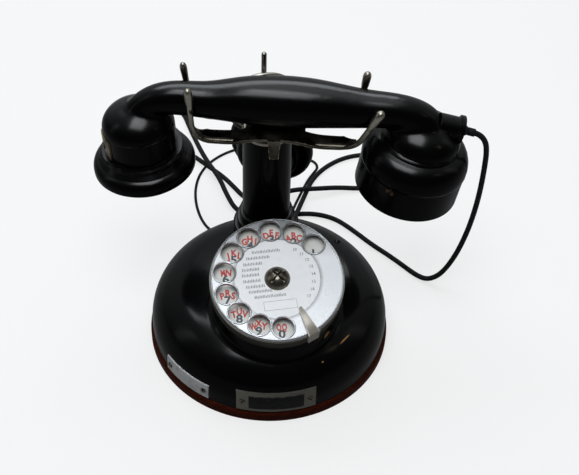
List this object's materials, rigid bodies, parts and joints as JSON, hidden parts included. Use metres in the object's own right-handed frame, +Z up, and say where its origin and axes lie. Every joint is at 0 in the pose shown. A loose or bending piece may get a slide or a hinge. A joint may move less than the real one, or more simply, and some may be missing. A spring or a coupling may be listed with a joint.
{
  "type": "desk telephone",
  "caption": "Antique black desk telephone with a rotary dial on a domed base, a column with a nickel fork for the handset, a corded handset and a second earpiece hung behind.",
  "frame": {"origin": "centre of the wooden foot's underside, on the table", "axes": "+Z up, the dial faces -Y, +X to the viewer's right"},
  "size_m": [0.2636, 0.3398, 0.1908],
  "materials": {
    "wood": "dark red-brown varnish",
    "black_enamel": "gloss black stove enamel",
    "black_moulding": "polished black moulding with light wear",
    "nickel": "worn nickel plate",
    "bright_plate": "plain bright plate",
    "black_panel": "black paint on the plate",
    "white_enamel": "off-white enamel with painted letters and digits",
    "card": "white card behind a clear cover",
    "brass": "worn brass",
    "steel": "plain steel",
    "black_rubber": "black rubber",
    "fibre": "brown fibre",
    "braid": "black braided cotton"
  },
  "bodies": {
    "base": {"wood_base": "wood", "base_screws": "steel", "dome_shell": "black_enamel", "column_foot": "black_enamel", "column_tube": "black_enamel", "column_bush": "nickel", "hook_bracket": "nickel", "dial_case": "nickel", "dial_bush": "brass", "number_plate": "white_enamel", "finger_stop": "nickel", "dial_back_plate": "brass", "dial_spring": "steel", "front_plate": "nickel", "front_panel": "black_panel", "side_plate": "bright_plate", "plate_screws": "nickel", "dome_screw": "nickel", "induction_coil": "fibre", "coil_core": "steel", "condenser": "steel", "terminal_block": "fibre", "terminal_screws": "brass", "switch_bracket": "steel", "contact_springs": "brass", "cord_glands": "black_rubber", "handset_cord": "braid", "earpiece_cord": "braid"},
    "dial": {"finger_wheel": "nickel", "dial_card": "card", "centre_screw": "nickel", "dial_spindle": "steel", "dial_gear": "brass"},
    "governor": {"governor_pinion": "brass", "governor_weights": "brass"},
    "cradle": {"cradle_fork": "nickel", "plunger_rod": "steel", "plunger_tip": "black_rubber", "plunger_spring": "steel"},
    "handset": {"handle": "black_moulding", "receiver_case": "black_moulding", "receiver_cap": "black_moulding", "receiver_diaphragm": "steel", "receiver_magnet": "steel", "receiver_plate": "brass", "receiver_plate_screw": "brass", "transmitter_bell": "black_moulding", "transmitter_cap": "black_moulding", "transmitter_capsule": "steel", "transmitter_screws": "nickel", "cord_boss": "black_moulding", "cord_grip": "black_moulding", "handset_cord_drop": "braid"},
    "earpiece": {"earpiece_case": "black_moulding", "earpiece_cap": "black_moulding", "earpiece_diaphragm": "steel", "earpiece_magnet": "steel", "earpiece_ring": "nickel", "earpiece_grip": "black_moulding"}
  },
  "joints": [
    {"name": "dial_turn", "type": "hinge", "parent": "base", "child": "dial", "pos_m": [0.0025, -0.029, 0.0815], "axis": [0, 0.309, -0.9511], "range_deg": [0, 316], "stiffness_Nm_per_rad": 0.012, "springref_deg": -34.38},
    {"name": "governor_spin", "type": "hinge", "parent": "base", "child": "governor", "pos_m": [0.0025, -0.00313, 0.0899], "axis": [0, 0.309, -0.9511], "range_deg": [-1280, 0]},
    {"name": "cradle_rise", "type": "slide", "parent": "base", "child": "cradle", "axis": [0, 0, 1], "range_m": [0, 0.007], "stiffness_N_per_m": 90, "springref_m": 0.03, "deforming": ["plunger_spring"]},
    {"name": "handset_lift", "type": "slide", "parent": "cradle", "child": "handset", "axis": [0, 0, 1], "range_m": [0, 0.024]},
    {"name": "earpiece_lift", "type": "slide", "parent": "base", "child": "earpiece", "axis": [0, 0, 1], "range_m": [0, 0.02]}
  ],
  "couplings": [
    {"joint": "governor_spin", "follows": "dial_turn", "ratio": -4}
  ]
}
